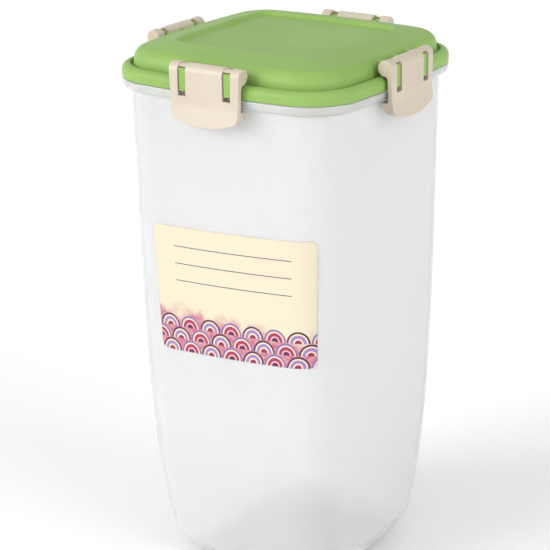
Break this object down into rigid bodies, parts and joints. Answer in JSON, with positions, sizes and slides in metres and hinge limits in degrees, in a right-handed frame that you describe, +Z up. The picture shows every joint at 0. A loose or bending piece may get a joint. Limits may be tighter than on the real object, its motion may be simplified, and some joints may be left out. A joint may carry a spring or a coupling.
{
  "type": "food storage container",
  "caption": "Tall square food keeper: translucent tapering tub, crowned snap lid with a sealing ring, hinged side latches that hook under the rim, and a plain wrap label.",
  "frame": {"origin": "middle of the base, on the surface the tub stands on", "axes": "+Z up, -Y towards the side that carries the label, +X to that side's right"},
  "size_m": [0.14, 0.14, 0.2666],
  "materials": {
    "tub_plastic": "frosted translucent polypropylene",
    "lid_plastic": "satin moulded polypropylene",
    "latch_plastic": "satin moulded polypropylene",
    "seal_silicone": "soft milky silicone",
    "label_film": "printed film"
  },
  "bodies": {
    "container": {"container_body": "tub_plastic", "label": "label_film"},
    "lid": {"lid": "lid_plastic", "lid_seal": "seal_silicone"},
    "latch_front": {"latch_front": "latch_plastic"},
    "latch_right": {"latch_right": "latch_plastic"},
    "latch_back": {"latch_back": "latch_plastic"},
    "latch_left": {"latch_left": "latch_plastic"}
  },
  "joints": [
    {"name": "lid_lift", "type": "slide", "parent": "container", "child": "lid", "axis": [0, 0, 1], "range_m": [0, 0.08]},
    {"name": "latch_front_swing", "type": "hinge", "parent": "lid", "child": "latch_front", "pos_m": [0, -0.0648, 0.2609], "axis": [-1, 0, 0], "range_deg": [0, 110]},
    {"name": "latch_right_swing", "type": "hinge", "parent": "lid", "child": "latch_right", "pos_m": [0.0648, 0, 0.2609], "axis": [0, -1, 0], "range_deg": [0, 110]},
    {"name": "latch_back_swing", "type": "hinge", "parent": "lid", "child": "latch_back", "pos_m": [0, 0.0648, 0.2609], "axis": [1, 0, 0], "range_deg": [0, 110]},
    {"name": "latch_left_swing", "type": "hinge", "parent": "lid", "child": "latch_left", "pos_m": [-0.0648, 0, 0.2609], "axis": [0, 1, 0], "range_deg": [0, 110]}
  ]
}
